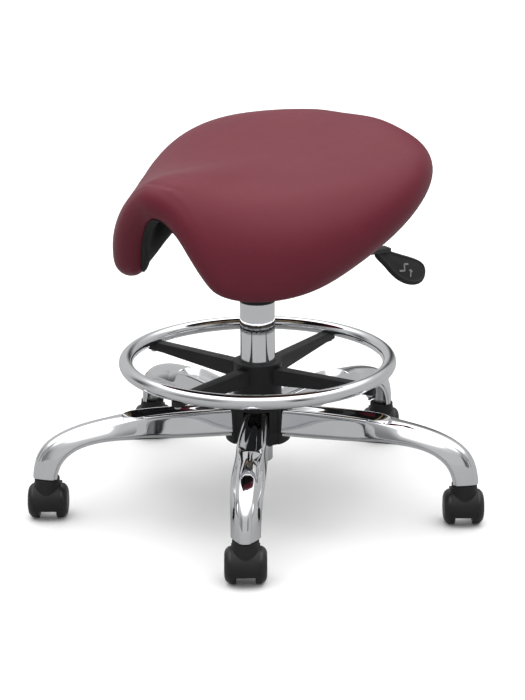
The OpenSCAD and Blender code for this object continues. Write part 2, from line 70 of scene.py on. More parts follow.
def node(tree, kind, **sockets):
    """A new node with some of its input sockets set."""
    made = tree.nodes.new(kind)
    for name, value in sockets.items():
        made.inputs[name.replace("_", " ")].default_value = value
    return made


def place(tree):
    """Object coordinates, in metres."""
    return tree.nodes.new("ShaderNodeTexCoord").outputs["Object"]


def noise(tree, scale, detail=3.0, rough=0.5):
    """Noise from 0 to 1, with scale spots per metre."""
    made = node(tree, "ShaderNodeTexNoise", Scale=scale, Detail=detail, Roughness=rough)
    tree.links.new(place(tree), made.inputs["Vector"])
    return made.outputs["Fac"]


def ramp(tree, source, low, high, start=0.0, stop=1.0):
    """source between start and stop, turned into low to high."""
    made = tree.nodes.new("ShaderNodeMapRange")
    made.inputs["From Min"].default_value = start
    made.inputs["From Max"].default_value = stop
    made.inputs["To Min"].default_value = low
    made.inputs["To Max"].default_value = high
    tree.links.new(source, made.inputs["Value"])
    return made.outputs["Result"]


def mixed(tree, factor, first, second):
    """Two colours mixed by factor."""
    made = tree.nodes.new("ShaderNodeMix")
    made.data_type = "RGBA"
    tree.links.new(factor, made.inputs["Factor"])
    made.inputs["A"].default_value = (*first, 1)
    made.inputs["B"].default_value = (*second, 1)
    return made.outputs["Result"]


def bumped(tree, shader, layers):
    """Bumps from (height, depth in metres) layers, one on top of the other."""
    last = None
    for height, depth in layers:
        made = node(tree, "ShaderNodeBump", Distance=depth, Strength=1.0)
        tree.links.new(height, made.inputs["Height"])
        if last is not None:
            tree.links.new(last.outputs["Normal"], made.inputs["Normal"])
        last = made
    tree.links.new(last.outputs["Normal"], shader.inputs["Normal"])


def combined(tree, operation, first, second):
    """A maths node on two values, each a socket or a number."""
    made = tree.nodes.new("ShaderNodeMath")
    made.operation = operation
    for i, value in enumerate((first, second)):
        if isinstance(value, (int, float)):
            made.inputs[i].default_value = value
        else:
            tree.links.new(value, made.inputs[i])
    return made.outputs["Value"]


# ---- materials ----

def vinyl_material():
    mat, tree, shader = new_material("vinyl", (0.15, 0.024, 0.040), 0.42, specular=0.16)
    cloud = ramp(tree, noise(tree, 7.0, 2.0), 0.0, 1.0, 0.3, 0.7)
    fleck = noise(tree, 900.0, 2.0)
    tone = mixed(tree, cloud, (0.146, 0.0200, 0.034), (0.160, 0.0225, 0.038))
    shade = node(tree, "ShaderNodeHueSaturation")
    tree.links.new(tone, shade.inputs["Color"])
    tree.links.new(ramp(tree, fleck, 0.9, 1.1, 0.3, 0.7), shade.inputs["Value"])
    tree.links.new(shade.outputs["Color"], shader.inputs["Base Color"])
    tree.links.new(ramp(tree, noise(tree, 60.0), 0.38, 0.45), shader.inputs["Roughness"])
    grain = node(tree, "ShaderNodeTexVoronoi", Scale=760.0, Randomness=1.0)
    grain.feature = "DISTANCE_TO_EDGE"
    tree.links.new(place(tree), grain.inputs["Vector"])
    creases = ramp(tree, grain.outputs["Distance"], 0.0, 1.0, 0.0, 0.22)
    bumped(tree, shader, [(noise(tree, 55.0, 2.0), 0.00018), (creases, 0.00005)])
    return mat


def lining_material():
    mat, tree, shader = new_material("lining_cloth", (0.012, 0.013, 0.014), 0.85)
    threads = []
    for turn in ("X", "Y"):
        wave = node(tree, "ShaderNodeTexWave", Scale=420.0, Distortion=0.6)
        wave.bands_direction = turn
        tree.links.new(place(tree), wave.inputs["Vector"])
        threads.append(wave.outputs["Fac"])
    weave_and_gap_shade = combined(tree, "MAXIMUM", *threads)
    # Lighter on the raised thread crowns and darker in the sunk gaps between them: painted shade over the real
    # weave.
    shade = mixed(tree, weave_and_gap_shade, (0.006, 0.0065, 0.007), (0.022, 0.023, 0.025))
    tree.links.new(shade, shader.inputs["Base Color"])
    bumped(tree, shader, [(noise(tree, 40.0), 0.0008), (weave_and_gap_shade, 0.0002)])
    return mat


def chrome_material():
    mat, tree, shader = new_material("chrome", (0.78, 0.79, 0.81), 0.06, metallic=1.0)
    tree.links.new(ramp(tree, noise(tree, 180.0), 0.02, 0.06), shader.inputs["Roughness"])
    stain = ramp(tree, noise(tree, 14.0), 0.0, 1.0, 0.35, 0.65)
    tint = mixed(tree, stain, (0.76, 0.77, 0.79), (0.81, 0.82, 0.84))
    tree.links.new(tint, shader.inputs["Base Color"])
    bumped(tree, shader, [(noise(tree, 18.0, 1.0), 0.00002)])
    return mat


def steel_material():
    mat, tree, shader = new_material("bright_steel", (0.56, 0.57, 0.58), 0.3, metallic=1.0)
    tree.links.new(ramp(tree, noise(tree, 300.0), 0.22, 0.42), shader.inputs["Roughness"])
    tint = mixed(tree, noise(tree, 40.0), (0.50, 0.51, 0.52), (0.62, 0.63, 0.64))
    tree.links.new(tint, shader.inputs["Base Color"])
    bumped(tree, shader, [(noise(tree, 900.0), 0.00002)])
    return mat


def plastic_material(name, dark, light, roughness, specular=0.5):
    mat, tree, shader = new_material(name, dark, roughness, specular=specular)
    fleck = ramp(tree, noise(tree, 25.0), 0.0, 1.0, 0.3, 0.7)
    tree.links.new(mixed(tree, fleck, dark, light), shader.inputs["Base Color"])
    rub = ramp(tree, noise(tree, 90.0), roughness - 0.06, roughness + 0.08)
    tree.links.new(rub, shader.inputs["Roughness"])
    bumped(tree, shader, [(noise(tree, 2200.0, 1.0), 0.00003), (noise(tree, 30.0), 0.00006)])
    return mat


def paint_material():
    mat, tree, shader = new_material("black_steel", (0.015, 0.015, 0.016), 0.35, specular=0.5)
    worn = ramp(tree, noise(tree, 160.0, 4.0), 0.0, 1.0, 0.62, 0.8)
    tone = mixed(tree, worn, (0.014, 0.014, 0.015), (0.05, 0.05, 0.052))
    tree.links.new(tone, shader.inputs["Base Color"])
    bumped(tree, shader, [(noise(tree, 700.0), 0.00004)])
    return mat


def plywood_material():
    mat, tree, shader = new_material("plywood", (0.50, 0.34, 0.18), 0.6)
    plies = node(tree, "ShaderNodeTexWave", Scale=85.0, Distortion=0.3)
    plies.bands_direction = "Z"
    tree.links.new(place(tree), plies.inputs["Vector"])
    streak = tree.nodes.new("ShaderNodeMapping")
    streak.inputs["Scale"].default_value = (160, 9, 30)
    tree.links.new(place(tree), streak.inputs["Vector"])
    fibre = node(tree, "ShaderNodeTexNoise", Scale=1.0, Detail=5.0)
    tree.links.new(streak.outputs["Vector"], fibre.inputs["Vector"])
    both = combined(tree, "MULTIPLY", plies.outputs["Fac"], fibre.outputs["Fac"])
    tone = mixed(tree, ramp(tree, both, 0, 1, 0.05, 0.6), (0.30, 0.18, 0.08), (0.62, 0.45, 0.25))
    tree.links.new(tone, shader.inputs["Base Color"])
    bumped(tree, shader, [(fibre.outputs["Fac"], 0.0001)])
    return mat


def foam_material():
    mat, tree, shader = new_material("foam_core", (0.02, 0.02, 0.022), 0.95, specular=0.2)
    cells_and_pit_shade = node(tree, "ShaderNodeTexVoronoi", Scale=650.0)
    tree.links.new(place(tree), cells_and_pit_shade.inputs["Vector"])
    # Darker in the cell pits that the bump sinks and lighter on the cell walls: painted shade over the foam's cell
    # pattern.
    tone = mixed(tree, cells_and_pit_shade.outputs["Distance"], (0.010, 0.010, 0.011), (0.045, 0.045, 0.048))
    tree.links.new(tone, shader.inputs["Base Color"])
    bumped(tree, shader, [(cells_and_pit_shade.outputs["Distance"], 0.0006)])
    return mat


def mark_material():
    mat, tree, shader = new_material("mark_ink", (0.25, 0.25, 0.25), 0.5)
    tone = mixed(tree, noise(tree, 1500.0), (0.17, 0.17, 0.17), (0.30, 0.30, 0.30))
    tree.links.new(tone, shader.inputs["Base Color"])
    return mat


def floor_material(name, tone):
    """A plain floor that isn't there when seen from below."""
    mat, tree, shader = new_material(name, (tone, tone, tone), 0.8, specular=0.1)
    side = tree.nodes.new("ShaderNodeNewGeometry")
    clear = tree.nodes.new("ShaderNodeBsdfTransparent")
    either = tree.nodes.new("ShaderNodeMixShader")
    tree.links.new(side.outputs["Backfacing"], either.inputs["Fac"])
    tree.links.new(shader.outputs["BSDF"], either.inputs[1])
    tree.links.new(clear.outputs["BSDF"], either.inputs[2])
    tree.links.new(either.outputs["Shader"], tree.nodes["Material Output"].inputs["Surface"])
    return mat


MATERIALS = {
    "vinyl": vinyl_material(),
    "lining_cloth": lining_material(),
    "foam_core": foam_material(),
    "plywood": plywood_material(),
    "chrome": chrome_material(),
    "bright_steel": steel_material(),
    "black_steel": paint_material(),
    "black_nylon": plastic_material(
        "black_nylon", (0.014, 0.014, 0.015), (0.020, 0.020, 0.021), 0.46, specular=0.25),
    "wheel_nylon": plastic_material(
        "wheel_nylon", (0.012, 0.012, 0.013), (0.018, 0.018, 0.019), 0.32, specular=0.4),
    "bumper_rubber": plastic_material(
        "bumper_rubber", (0.014, 0.014, 0.014), (0.020, 0.020, 0.020), 0.8),
}
SLOTS = {s["node"]: s["material_slot"] for s in frame["record"]["subparts"]}
BODY_OF = {name: body for body, names in frame["record"]["behaviour"]["bodies"].items()
           for name in names}


# ---- mesh helpers ----

def finish_piece(obj, name, material=None):
    """Gives a new piece a CAD node's slot and body, and its material or the one given."""
    slot = SLOTS[name]
    obj.data.materials.clear()
    obj.data.materials.append(material or MATERIALS[slot])
    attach(obj, BODY_OF[name])


def mesh_object(name, verts, faces):
    """A smooth-shaded object from points in metres and faces of their numbers."""
    mesh = bpy.data.meshes.new(name)
    mesh.from_pydata([tuple(v) for v in verts], [], faces)
    mesh.validate()
    mesh.update()
    obj = bpy.data.objects.new(name, mesh)
    bpy.context.scene.collection.objects.link(obj)
    for poly in mesh.polygons:
        poly.use_smooth = True
    return obj


def evaluated(obj):
    """Replaces obj's mesh by what its modifiers make of it."""
    deps = bpy.context.evaluated_depsgraph_get()
    mesh = bpy.data.meshes.new_from_object(obj.evaluated_get(deps))
    obj.modifiers.clear()
    obj.data = mesh
    return obj


def smooth_by_angle(obj, degrees):
    """Smooth shading, broken at edges sharper than the angle."""
    mesh = obj.data
    for poly in mesh.polygons:
        poly.use_smooth = True
    mesh.set_sharp_from_angle(angle=math.radians(degrees))


def replaced(obj, name):
    """Puts a new piece in place of a CAD node."""
    finish_piece(obj, name)
    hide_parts(name)


def closed_up(obj):
    """Welds a mesh's seams and turns its faces outwards."""
    bm = bmesh.new()
    bm.from_mesh(obj.data)
    bmesh.ops.remove_doubles(bm, verts=bm.verts, dist=1e-7)
    bmesh.ops.recalc_face_normals(bm, faces=bm.faces)
    bm.to_mesh(obj.data)
    bm.free()


def softened(nodes, width=0.8 * MM, segments=3, angle=32):
    """Copies of CAD nodes with flat faces merged and edges rounded, in place of the nodes."""
    for name in nodes:
        mesh = frame["nodes"][name].data.copy()
        obj = bpy.data.objects.new(name + "_finish", mesh)
        bpy.context.scene.collection.objects.link(obj)
        bm = bmesh.new()
        bm.from_mesh(mesh)
        bmesh.ops.remove_doubles(bm, verts=bm.verts, dist=2e-6)
        bmesh.ops.dissolve_limit(bm, angle_limit=math.radians(0.6), verts=bm.verts, edges=bm.edges)
        bm.to_mesh(mesh)
        bm.free()
        if width:
            bevel = obj.modifiers.new("bevel", "BEVEL")
            bevel.width = width
            bevel.segments = segments
            bevel.limit_method = "ANGLE"
            bevel.angle_limit = math.radians(angle)
            bevel.use_clamp_overlap = True
            bevel.harden_normals = False
            evaluated(obj)
        smooth_by_angle(obj, angle)
        replaced(obj, name)


def basis(count, steps):
    """Weights of a clamped uniform cubic B-spline's control points.

    steps is the number of equal steps from end to end, or an array of parameters from 0 to 1.
    """
    knots = np.concatenate([np.zeros(3), np.linspace(0, 1, count - 2), np.ones(3)])
    t = np.atleast_1d(steps if isinstance(steps, np.ndarray) else np.linspace(0, 1, steps + 1))
    t = np.clip(t, 0, 1 - 1e-9)
    weights = ((t[:, None] >= knots[:-1]) & (t[:, None] < knots[1:])).astype(float)
    for d in range(1, 4):
        n = len(knots) - 1 - d
        wide = knots[d:d + n] - knots[:n]
        next_wide = knots[d + 1:d + 1 + n] - knots[1:1 + n]
        rise = (t[:, None] - knots[:n]) / np.where(wide > 0, wide, 1)
        fall = (knots[d + 1:d + 1 + n] - t[:, None]) / np.where(next_wide > 0, next_wide, 1)
        weights = rise * weights[:, :n] + fall * weights[:, 1:n + 1]
    return weights


def curve(points, steps):
    """Points of the B-spline that the control points steer; steps as for basis."""
    points = np.array(points, float)
    return basis(len(points), steps) @ points


def loft(rings, caps=True):
    """Faces over a list of equal closed rings of points."""
    rings = np.array(rings)
    count, size = rings.shape[:2]
    verts = rings.reshape(-1, 3)
    faces = []
    for i in range(count - 1):
        for j in range(size):
            k = (j + 1) % size
            faces.append((i * size + j, i * size + k, (i + 1) * size + k, (i + 1) * size + j))
    if caps:
        faces.append(tuple(reversed(range(size))))
        faces.append(tuple(range((count - 1) * size, count * size)))
    return verts, faces


def lathe(name, profile, segments):
    """A solid of revolution about the column's axis: profile is (radius, height)."""
    r, z = np.array(profile, float).T
    rings = []
    for s in range(segments):
        a = 2 * math.pi * s / segments
        rings.append(np.stack([r * math.cos(a), r * math.sin(a), z], 1))
    rings.append(rings[0])
    verts, faces = loft(rings, caps=False)
    obj = mesh_object(name, verts, faces)
    closed_up(obj)
    smooth_by_angle(obj, 40)
    return obj


def arc(cx, cy, r, start, stop, steps):
    """Points of a round corner, from start to stop in degrees."""
    return [(cx + r * math.cos(math.radians(a)), cy + r * math.sin(math.radians(a)))
            for a in np.linspace(start, stop, steps + 1)]


# ---- camera ----

CAMERA_TURN = 41.0        # degrees round the column, from -Y towards +X
CAMERA_ELEVATION = 17.34  # degrees that it looks down
CAMERA_ROLL = 0.29        # degrees
CAMERA_BACK = 2.5277      # metres from the column's axis
CAMERA_HEIGHT = 1.0136
CAMERA_SIDE = 0.0071
LENS = 94.95              # mm, on a 36 mm sensor


def add_camera():
    """The view that the stool is matched in."""
    turn = math.radians(CAMERA_TURN)
    right = Vector((math.cos(turn), math.sin(turn), 0))
    away = Vector((-math.sin(turn), math.cos(turn), 0))
    data = bpy.data.cameras.new("camera")
    data.lens = LENS
    data.sensor_width = 36
    data.clip_end = 60
    cam = bpy.data.objects.new("camera", data)
    bpy.context.scene.collection.objects.link(cam)
    at = right * CAMERA_SIDE - away * CAMERA_BACK + Vector((0, 0, CAMERA_HEIGHT))
    look = away * math.cos(math.radians(CAMERA_ELEVATION))
    look.z = -math.sin(math.radians(CAMERA_ELEVATION))
    roll = Matrix.Rotation(math.radians(-CAMERA_ROLL), 4, "Z")
    aim = look.to_track_quat("-Z", "Y").to_matrix().to_4x4()
    cam.matrix_world = Matrix.Translation(at) @ aim @ roll
    bpy.context.scene.camera = cam


add_camera()


# ---- saddle ----

# Middle of the padded sheet, its right half from the spine to the hem, from front to rear:
# [sideways, forwards, height] in mm
SADDLE_ROWS = [
    [[0, 196, 478], [24, 188, 470], [56, 186, 443], [76, 177, 402], [87, 165, 380]],
    [[0, 184, 490], [34, 176, 471], [82, 162, 440], [112, 149, 390], [98, 152, 370]],
    [[0, 140, 492], [50, 133, 468], [116, 121, 443], [152, 100, 400], [132, 120, 368]],
    [[0, 60, 481], [60, 60, 465], [140, 53, 458], [197, 33, 421], [157, 60, 376]],
    [[0, -20, 473], [68, -20, 470], [157, -20, 480], [233, -30, 454], [173, -12, 408]],
    [[0, -102, 491], [70, -100, 494], [157, -98, 509], [234, -95, 490], [180, -80, 440]],
    [[0, -162, 515], [62, -166, 518], [130, -163, 519], [194, -149, 497], [158, -130, 467]],
    [[0, -184, 519], [34, -190, 519], [86, -190, 516], [143, -174, 490], [132, -161, 477]]]
PAD_R = 24 * MM          # half the padding's thickness, and the radius of its rim
SLACK = 0.6 * MM         # how far the padding starts inside that, before pressure fills it
PUFF = 5 * MM            # the most that pressure may move it
LINING_GAP = 0.3 * MM
LINING_THICK = 1.6 * MM
LINING_WRAP = 55         # degrees that the lining is carried round the rim


def saddle_net():
    """Control points of the whole middle surface, from rim to rim."""
    half = np.array(SADDLE_ROWS, float) * MM
    half[..., 1] *= -1
    left = half[:, :0:-1].copy()
    left[..., 0] *= -1
    return np.concatenate([left, half], 1)


def saddle_sheet(long, across):
    """Grid of points and normals of the saddle's middle surface."""
    net = saddle_net()
    s = np.linspace(0, 1, long + 1)
    u = np.linspace(0, 1, across + 1)

    def at(s, u):
        return np.einsum("si,ijk,uj->suk", basis(net.shape[0], s), net, basis(net.shape[1], u))

    # Slopes come from points a short way to each side, kept clear of the edges
    probe = 0.004
    s1 = np.clip(s, 2.5 * probe, 1 - 2.5 * probe)
    u1 = np.clip(u, 2.5 * probe, 1 - 2.5 * probe)
    ds = at(s1 + probe, u1) - at(s1 - probe, u1)
    du = at(s1, u1 + probe) - at(s1, u1 - probe)
    n = np.cross(du, ds)
    n /= np.linalg.norm(n, axis=2, keepdims=True)
    return at(s, u), n


def edge_loop(long, across):
    """Index of each grid point round the sheet's edge."""
    loop = [(0, j) for j in range(across)]
    loop += [(i, across) for i in range(long)]
    loop += [(long, j) for j in range(across, 0, -1)]
    loop += [(i, 0) for i in range(long, 0, -1)]
    return np.array([i * (across + 1) + j for i, j in loop])


def rim_rings(grid, up, index, angles, radius):
    """Rings of points round the edge, each angle in degrees from the sitter's side."""
    here = grid.reshape(-1, 3)[index]
    n = up.reshape(-1, 3)[index]
    out = np.cross(np.roll(here, -1, 0) - np.roll(here, 1, 0), n)
    out /= np.linalg.norm(out, axis=1, keepdims=True)
    return [here + radius * (n * math.cos(a) + out * math.sin(a)) for a in np.radians(angles)]


def grid_faces(long, across, start, flipped):
    """Quads over a grid whose first point has the number start."""
    cols = across + 1
    faces = []
    for i in range(long):
        for j in range(across):
            a = start + i * cols + j
            quad = (a, a + 1, a + cols + 1, a + cols)
            faces.append(quad[::-1] if flipped else quad)
    return faces


def strip_faces(first, second, flipped=False):
    """Quads between two closed loops of vertex numbers."""
    faces = []
    for k in range(len(first)):
        m = (k + 1) % len(first)
        quad = (first[k], second[k], second[m], first[m])
        faces.append(quad[::-1] if flipped else quad)
    return faces


def blown_up(obj, pinned, cap, frames=10):
    """Lets pressure fill the padding; a point that would move far stays within cap."""
    start = np.array([v.co for v in obj.data.vertices])
    held = obj.vertex_groups.new(name="held")
    held.add(list(range(len(start))), 0.15, "REPLACE")
    held.add([int(i) for i in pinned], 1.0, "REPLACE")
    cloth = obj.modifiers.new("cloth", "CLOTH")
    cloth.settings.quality = 3
    cloth.settings.mass = 0.3
    cloth.settings.vertex_group_mass = "held"
    cloth.settings.use_pressure = True
    cloth.settings.uniform_pressure_force = 30
    cloth.settings.effector_weights.gravity = 0
    cloth.point_cache.frame_start = 1
    cloth.point_cache.frame_end = frames
    scene = bpy.context.scene
    for step in range(1, frames + 1):
        scene.frame_set(step)
    evaluated(obj)
    scene.frame_set(1)
    obj.vertex_groups.clear()
    moved = np.array([v.co for v in obj.data.vertices]) - start
    far = np.linalg.norm(moved, axis=1, keepdims=True)
    end = start + moved * cap / (cap + far)
    obj.data.vertices.foreach_set("co", end.ravel())
    obj.data.update()


def add_cushion(long=66, across=92):
    """The padded saddle, as one closed form blown up by pressure."""
    grid, up = saddle_sheet(long, across)
    index = edge_loop(long, across)
    size, count = len(index), grid.shape[0] * grid.shape[1]
    # Slack on the sitter's side only, fading out round the rim
    slack = SLACK
    rings = []
    for angle in range(15, 180, 15):
        radius = PAD_R - slack * max(math.cos(math.radians(angle)), 0)
        rings += rim_rings(grid, up, index, [angle], radius)
    verts = np.concatenate([(grid + up * (PAD_R - slack)).reshape(-1, 3),
                            (grid - up * PAD_R).reshape(-1, 3), *rings])
    loops = [2 * count + r * size + np.arange(size) for r in range(len(rings))]
    loops = [index, *loops, count + index]
    faces = grid_faces(long, across, 0, False) + grid_faces(long, across, count, True)
    for first, second in zip(loops, loops[1:]):
        faces += strip_faces(first, second)
    obj = mesh_object("saddle_cushion", verts, [tuple(int(v) for v in f) for f in faces])
    blown_up(obj, np.concatenate([np.arange(count, len(verts)), index]), PUFF)
    smooth = obj.modifiers.new("finer", "SUBSURF")
    smooth.levels = 1
    evaluated(obj)
    replaced(obj, "seat_cushion")


def add_lining(long=70, across=100):
    """Black cloth under the cushion, carried round its rim."""
    grid, up = saddle_sheet(long, across)
    index = edge_loop(long, across)
    size, count = len(index), grid.shape[0] * grid.shape[1]
    angles = 180 - np.linspace(0, LINING_WRAP, 6)[1:]
    verts, shells = [], []
    for radius in (PAD_R + LINING_GAP, PAD_R + LINING_GAP + LINING_THICK):
        start = sum(len(v) for v in verts)
        rings = rim_rings(grid, up, index, angles, radius)
        verts += [(grid - up * radius).reshape(-1, 3), *rings]
        loops = [start + index]
        loops += [start + count + r * size + np.arange(size) for r in range(len(rings))]
        shells.append((start, loops))
    faces = []
    for (start, loops), flipped in zip(shells, (False, True)):
        faces += grid_faces(long, across, start, flipped)
        for first, second in zip(loops, loops[1:]):
            faces += strip_faces(first, second, not flipped)
    faces += strip_faces(shells[0][1][-1], shells[1][1][-1], True)
    faces = [tuple(int(v) for v in f) for f in faces]
    obj = mesh_object("saddle_lining", np.concatenate(verts), faces)
    closed_up(obj)
    replaced(obj, "seat_lining")


add_cushion()
add_lining()


# ---- legs ----

# A leg's top line and lower edge in side view, and half its width in plan, each point with its
# distance from the column first, in mm
LEG_CROWN = [[30, 143], [130, 148], [228, 144], [302, 124], [326, 98], [328.5, 64]]
LEG_EDGE = [[30, 104], [130, 108], [228, 120], [280, 104], [298, 84], [301, 64]]
LEG_PLAN = [[30, 18], [120, 20], [215, 24], [280, 21.5], [318, 18.5], [331, 17]]
# The sunk groove along its top: half widths, where it ends and over what length it runs out
GROOVE_START_W = 7.5
GROOVE_END = 200
GROOVE_END_W = 16.5
GROOVE_RUNOUT = 30
GROOVE_DEPTH = 9
LIP = 4.5     # height of the lip round the lower edge
SHEET = 2.0   # thickness of the pressed steel


def leg_section(width, depth, crest, groove, flare, crown):
    """Closed outline of a leg's pressed sheet, as (across, down from the top line) in mm.

    groove is the groove's depth and crest half its width; flare leans the sides outwards, and
    crown rounds the top off.
    """
    top = width - 1.6 - flare
    half = [(width - 1.6, depth),
            (width - 1.6, depth - LIP + 1),
            (width - 1.4, depth - LIP),
            (width + 0.5, depth - LIP - 0.6),
            (width + 0.4, depth - LIP - 3),
            (top + 1.2 + flare * 0.5, (depth - LIP) * 0.5 + crown),
            (top + 0.9 - crown * 0.3, 4.5 + crown * 3),
            (top + 0.2 - crown * 1.2, 1.4 + crown * 3),
            (top - 1.6 - crown * 1.5, crown * 2.6)]
    if groove > 0.01:
        half += [(min(crest + 1.2, top - 2), -0.6),
                 (crest - 0.5, 0.3),
                 (crest * 0.75, groove * 0.45),
                 (crest * 0.42, groove),
                 (crest * 0.30, groove),
                 (0, groove)]
    else:
        half += [(top * 0.7, crown * 1.5 - 0.3),
                 (top * 0.55, crown * 0.8 - 0.5),
                 (top * 0.42, crown * 0.3 - 0.7),
                 (top * 0.28, -0.9),
                 (top * 0.14, -1),
                 (0, -1)]
    out = curve(half, 44)
    step = np.gradient(out, axis=0)
    normal = np.stack([-step[:, 1], step[:, 0]], 1)
    normal /= np.linalg.norm(normal, axis=1, keepdims=True)
    inner = out - normal * SHEET
    inner[0] = (out[0][0] - SHEET, out[0][1])
    inner[-1] = (0, out[-1][1] + SHEET)
    flip = np.array([-1, 1])
    return np.concatenate([out, out[-2::-1] * flip, inner[:-1] * flip, inner[::-1]])


def add_leg(k):
    """A pressed leg from the hub to its caster: sections square to its top line."""
    stem = JOINTS[f"caster_swivel_{k}"]["pos_m"]
    heading = math.atan2(stem[1], stem[0])
    fine = np.linspace(0, 1, 400)
    reach = curve(LEG_CROWN, fine)[:, 0]
    # Sections by distance from the column, closest where the groove ends, then round the bend
    wanted = np.concatenate([np.linspace(30, 166, 26), np.linspace(168, 204, 61),
                             np.linspace(207, 300, 36)])
    bend = np.linspace(np.interp(302, reach, fine), 1, 40)
    t = np.concatenate([np.interp(wanted, reach, fine), bend])
    plan = curve(LEG_PLAN, fine)
    rings = []
    for top, low in zip(curve(LEG_CROWN, t), curve(LEG_EDGE, t)):
        width = np.interp(top[0], plan[:, 0], plan[:, 1])
        down = (low - top) / np.linalg.norm(low - top)
        depth = np.linalg.norm(low - top)
        crest = np.interp(top[0], [45, 185], [GROOVE_START_W, GROOVE_END_W])
        past = max(top[0] - (GROOVE_END - GROOVE_RUNOUT), 0) / GROOVE_RUNOUT
        groove = GROOVE_DEPTH * max(1 - past ** 2.2, 0)
        crest *= math.sqrt(max(1 - past ** 2.6, 0.02))
        flare = np.interp(top[0], [170, 225, 300], [1, 5, 4])
        crown = np.interp(top[0], [165, 225], [0, 1.3])
        section = leg_section(width, depth, crest, groove, flare, crown)
        nose = np.interp(top[0], [285, 325], [0, 3])
        out = top[0] + down[0] * section[:, 1] - nose * (section[:, 0] / width) ** 2
        height = top[1] + down[1] * section[:, 1]
        aside = section[:, 0] * np.interp(out, plan[:, 0], plan[:, 1]) / width
        rings.append(np.stack([out * math.cos(heading) - aside * math.sin(heading),
                               out * math.sin(heading) + aside * math.cos(heading),
                               height], 1) * MM)
    verts, faces = loft(rings)
    obj = mesh_object(f"leg_{k}_pressing", verts, faces)
    closed_up(obj)
    smooth_by_angle(obj, 45)
    replaced(obj, f"leg_{k}")


for k in LEGS:
    add_leg(k)


# ---- lever paddle ----

LEVER_TURN = 71.0
PADDLE_AT = (207 * MM, 0, 345 * MM)
PADDLE_DROP = 27.0
PADDLE_ROLL = 60.0
PADDLE_EDGE = 4.6    # radius of the moulding's rounded edge in mm
PADDLE_DISH = 0.8    # how far its face is sunk inside that edge
# Outline of the paddle, [along the lever, sideways] in mm
PADDLE_OUTLINE = [[-8, -6], [-8, 1], [2, 3], [20, 5.5], [45, 8], [72, 12], [90, 9], [94, -6],
                  [88, -24], [68, -34], [46, -36], [28, -31], [14, -22], [-2, -16], [-8, -12],
                  [-8, -6]]


def in_paddle():
    """From the paddle's own frame to the stool's."""
    return (Matrix.Rotation(math.radians(LEVER_TURN), 4, "Z") @ Matrix.Translation(PADDLE_AT)
            @ Matrix.Rotation(math.radians(PADDLE_DROP), 4, "Y")
            @ Matrix.Rotation(math.radians(PADDLE_ROLL), 4, "X"))


def paddle_height(inset, across):
    """Half thickness of the paddle in mm at a distance from its edge."""
    edge = PADDLE_EDGE * math.sqrt(max(1 - (1 - min(inset / PADDLE_EDGE, 1)) ** 2, 0))
    sunk = PADDLE_DISH * min(max((inset - 4.0) / 1.4, 0), 1)
    crown = 1.3 * (1 - across) if inset >= 4 else 0
    return edge - sunk + crown


def add_paddle():
    """The lever's plastic paddle, with a sign on its face."""
    outline = curve(PADDLE_OUTLINE, 140)[:-1]
    step = np.roll(outline, -1, 0) - np.roll(outline, 1, 0)
    inward = np.stack([step[:, 1], -step[:, 0]], 1)
    inward /= np.linalg.norm(inward, axis=1, keepdims=True)
    centre = np.array([50, -12])
    rings = []
    for inset in (0, 0.25, 0.7, 1.4, 2.3, 3.2, 4.0, 4.5, 5.0, 5.6):
        rings.append((outline + inward * inset, paddle_height(inset, 1)))
    last = outline + inward * 5.6
    for share in (0.8, 0.6, 0.4, 0.2, 0.03):
        rings.append((centre + (last - centre) * share, paddle_height(6, share)))
    stack = [np.column_stack([r, np.full(len(r), z)]) for r, z in reversed(rings)]
    stack += [np.column_stack([r, np.full(len(r), -z * 0.9)]) for r, z in rings[1:]]
    verts, faces = loft(np.array(stack) * MM)
    obj = mesh_object("paddle_moulding", verts, faces)
    obj.data.transform(in_paddle())
    closed_up(obj)
    replaced(obj, "lever_paddle")
    # A generic sign for seat height: a seat in side view and an arrow beside it
    seat = [((38, -22), (48, -18), 1.4), ((48, -18), (46, -8), 1.4), ((46, -8), (54, -5), 1.4)]
    arrow = [((60, -24), (60, -12), 1.1), ((60, -12), (57, -15), 1.1), ((60, -12), (63, -15), 1.1)]
    marks = bmesh.new()
    for (x0, y0), (x1, y1), wide in seat + arrow:
        along = Vector((x1 - x0, y1 - y0, 0))
        size = Matrix.Diagonal((along.length, wide * 2, 0.3, 1))
        at = Matrix.Translation(((x0 + x1) / 2, (y0 + y1) / 2, 5.1))
        turn = Matrix.Rotation(math.atan2(along.y, along.x), 4, "Z")
        bmesh.ops.create_cube(marks, size=1.0, matrix=at @ turn @ size)
    mesh = bpy.data.meshes.new("paddle_sign")
    marks.to_mesh(mesh)
    marks.free()
    mesh.transform(in_paddle() @ Matrix.Scale(MM, 4))
    sign = bpy.data.objects.new("paddle_sign", mesh)
    bpy.context.scene.collection.objects.link(sign)
    finish_piece(sign, "lever_paddle", mark_material())


add_paddle()


# ---- column, ring and hub ----

COLUMN_WALL = 1.8 * MM
COLUMN_FOOT_R = 21.3 * MM           # the narrow end that sits in the hub
COLUMN_TAPER = (100 * MM, 148 * MM)  # heights between which it widens
COLUMN_FLOOR = 3 * MM               # plate across the foot, with a bore for the rod
COLUMN_BORE_R = 5.4 * MM


